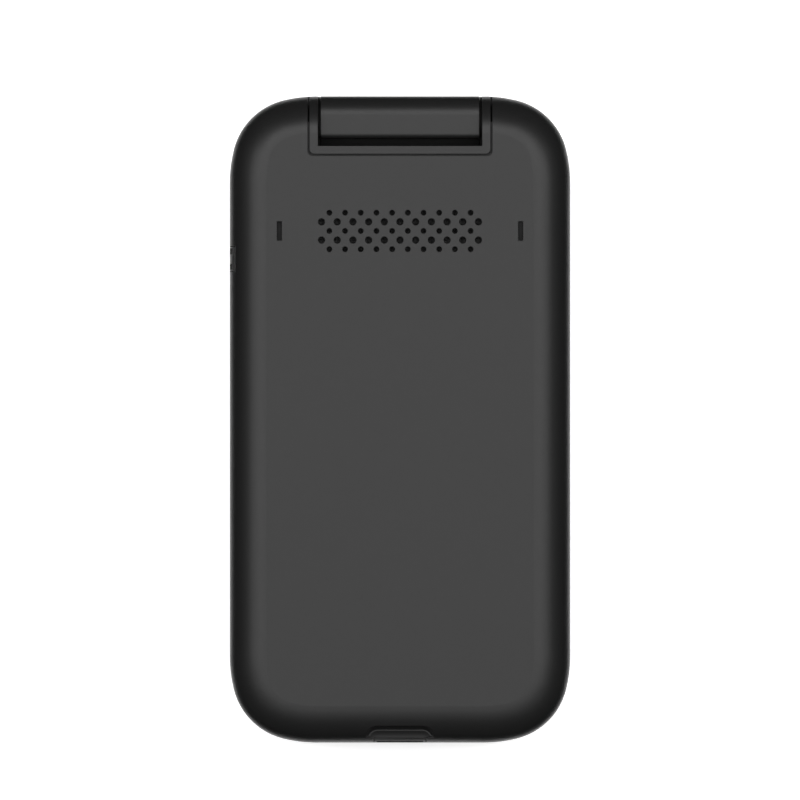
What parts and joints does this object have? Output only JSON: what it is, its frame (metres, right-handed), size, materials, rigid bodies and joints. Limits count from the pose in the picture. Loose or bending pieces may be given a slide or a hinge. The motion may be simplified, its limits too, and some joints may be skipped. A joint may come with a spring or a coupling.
{
  "type": "flip phone",
  "caption": "Folding mobile phone with a keypad, two screens, a centre hinge barrel and a lift-off back cover, shown closed.",
  "frame": {"origin": "on the outer face of the lid, on which the closed phone lies, below the middle of the phone", "axes": "+X across the phone, +Y along it towards the hinge, +Z from the lid's outer face up to the back cover"},
  "size_m": [0.055, 0.1044, 0.0189],
  "materials": {
    "shell": "fine moulded texture, dark grey",
    "housing": "moulded, dark grey",
    "key": "satin",
    "lens": "polished black",
    "display": "dark screen",
    "dark_metal": "dark satin",
    "component": "black component",
    "diffuser": "milky",
    "board": "green solder mask",
    "mesh": "fine black mesh",
    "steel": "satin",
    "rubber": "soft matte",
    "flex": "amber film",
    "battery": "bare dark label",
    "gold": "plated"
  },
  "bodies": {
    "lid": {"lid_cover": "shell", "lid_frame": "shell", "main_lens": "lens", "main_display": "display", "outer_lens": "lens", "outer_display": "display", "camera_ring": "dark_metal", "camera_window": "lens", "camera_module": "component", "flash_lens": "diffuser", "lid_board": "board", "earpiece": "component", "earpiece_mesh": "mesh", "lid_magnet": "steel", "lid_pads": "rubber", "lid_screws": "steel", "lid_screw_caps": "rubber", "hinge_capsule": "steel", "hinge_flex": "flex"},
    "base": {"keypad_deck": "shell", "rear_housing": "housing", "hinge_shaft": "steel", "hinge_bush": "steel", "thrust_washers": "rubber", "main_board": "board", "board_shield": "steel", "dome_sheet": "steel", "battery": "battery", "battery_contacts": "gold", "speaker": "component", "speaker_mesh": "mesh", "vibration_motor": "steel", "usb_port": "steel", "sim_holder": "steel", "memory_card_holder": "steel", "antenna": "component", "microphone": "component", "base_screws": "steel", "volume_switch": "component"},
    "rear_cover": {"rear_cover": "shell"},
    "volume_rocker": {"volume_rocker": "key"},
    "nav_ring": {"nav_ring": "dark_metal"},
    "nav_select": {"nav_select": "key"},
    "call_key": {"call_key": "key"},
    "end_key": {"end_key": "key"},
    "key_0": {"key_0": "key"},
    "key_1": {"key_1": "key"},
    "key_2": {"key_2": "key"},
    "key_3": {"key_3": "key"},
    "key_4": {"key_4": "key"},
    "key_5": {"key_5": "key"},
    "key_6": {"key_6": "key"},
    "key_7": {"key_7": "key"},
    "key_8": {"key_8": "key"},
    "key_9": {"key_9": "key"},
    "key_hash": {"key_hash": "key"},
    "key_star": {"key_star": "key"},
    "soft_key_left": {"soft_key_left": "key"},
    "soft_key_right": {"soft_key_right": "key"}
  },
  "joints": [
    {"name": "lid_hinge", "type": "hinge", "parent": "lid", "child": "base", "pos_m": [0, 0.04775, 0.0108], "axis": [-1, 0, 0], "range_deg": [0, 160]},
    {"name": "rear_cover_lift", "type": "slide", "parent": "base", "child": "rear_cover", "axis": [0, 0, 1], "range_m": [0, 0.025]},
    {"name": "volume_rock", "type": "hinge", "parent": "base", "child": "volume_rocker", "pos_m": [0.02565, 0.014, 0.0112], "axis": [0, 0, 1], "range_deg": [-2, 2], "stiffness_Nm_per_rad": 0.001},
    {"name": "nav_tilt", "type": "hinge", "parent": "base", "child": "nav_ring", "pos_m": [0, 0.019, 0.0105], "axis": [1, 0, 0], "range_deg": [-1.2, 1.2], "stiffness_Nm_per_rad": 0.004},
    {"name": "nav_select_press", "type": "slide", "parent": "base", "child": "nav_select", "axis": [0, 0, 1], "range_m": [0, 0.0002], "stiffness_N_per_m": 500, "springref_m": -0.001},
    {"name": "call_key_press", "type": "slide", "parent": "base", "child": "call_key", "axis": [0, 0, 1], "range_m": [0, 0.0004], "stiffness_N_per_m": 500, "springref_m": -0.001},
    {"name": "end_key_press", "type": "slide", "parent": "base", "child": "end_key", "axis": [0, 0, 1], "range_m": [0, 0.0004], "stiffness_N_per_m": 500, "springref_m": -0.001},
    {"name": "key_0_press", "type": "slide", "parent": "base", "child": "key_0", "axis": [0, 0, 1], "range_m": [0, 0.0004], "stiffness_N_per_m": 500, "springref_m": -0.001},
    {"name": "key_1_press", "type": "slide", "parent": "base", "child": "key_1", "axis": [0, 0, 1], "range_m": [0, 0.0004], "stiffness_N_per_m": 500, "springref_m": -0.001},
    {"name": "key_2_press", "type": "slide", "parent": "base", "child": "key_2", "axis": [0, 0, 1], "range_m": [0, 0.0004], "stiffness_N_per_m": 500, "springref_m": -0.001},
    {"name": "key_3_press", "type": "slide", "parent": "base", "child": "key_3", "axis": [0, 0, 1], "range_m": [0, 0.0004], "stiffness_N_per_m": 500, "springref_m": -0.001},
    {"name": "key_4_press", "type": "slide", "parent": "base", "child": "key_4", "axis": [0, 0, 1], "range_m": [0, 0.0004], "stiffness_N_per_m": 500, "springref_m": -0.001},
    {"name": "key_5_press", "type": "slide", "parent": "base", "child": "key_5", "axis": [0, 0, 1], "range_m": [0, 0.0004], "stiffness_N_per_m": 500, "springref_m": -0.001},
    {"name": "key_6_press", "type": "slide", "parent": "base", "child": "key_6", "axis": [0, 0, 1], "range_m": [0, 0.0004], "stiffness_N_per_m": 500, "springref_m": -0.001},
    {"name": "key_7_press", "type": "slide", "parent": "base", "child": "key_7", "axis": [0, 0, 1], "range_m": [0, 0.0004], "stiffness_N_per_m": 500, "springref_m": -0.001},
    {"name": "key_8_press", "type": "slide", "parent": "base", "child": "key_8", "axis": [0, 0, 1], "range_m": [0, 0.0004], "stiffness_N_per_m": 500, "springref_m": -0.001},
    {"name": "key_9_press", "type": "slide", "parent": "base", "child": "key_9", "axis": [0, 0, 1], "range_m": [0, 0.0004], "stiffness_N_per_m": 500, "springref_m": -0.001},
    {"name": "key_hash_press", "type": "slide", "parent": "base", "child": "key_hash", "axis": [0, 0, 1], "range_m": [0, 0.0004], "stiffness_N_per_m": 500, "springref_m": -0.001},
    {"name": "key_star_press", "type": "slide", "parent": "base", "child": "key_star", "axis": [0, 0, 1], "range_m": [0, 0.0004], "stiffness_N_per_m": 500, "springref_m": -0.001},
    {"name": "soft_key_left_press", "type": "slide", "parent": "base", "child": "soft_key_left", "axis": [0, 0, 1], "range_m": [0, 0.0004], "stiffness_N_per_m": 500, "springref_m": -0.001},
    {"name": "soft_key_right_press", "type": "slide", "parent": "base", "child": "soft_key_right", "axis": [0, 0, 1], "range_m": [0, 0.0004], "stiffness_N_per_m": 500, "springref_m": -0.001}
  ]
}
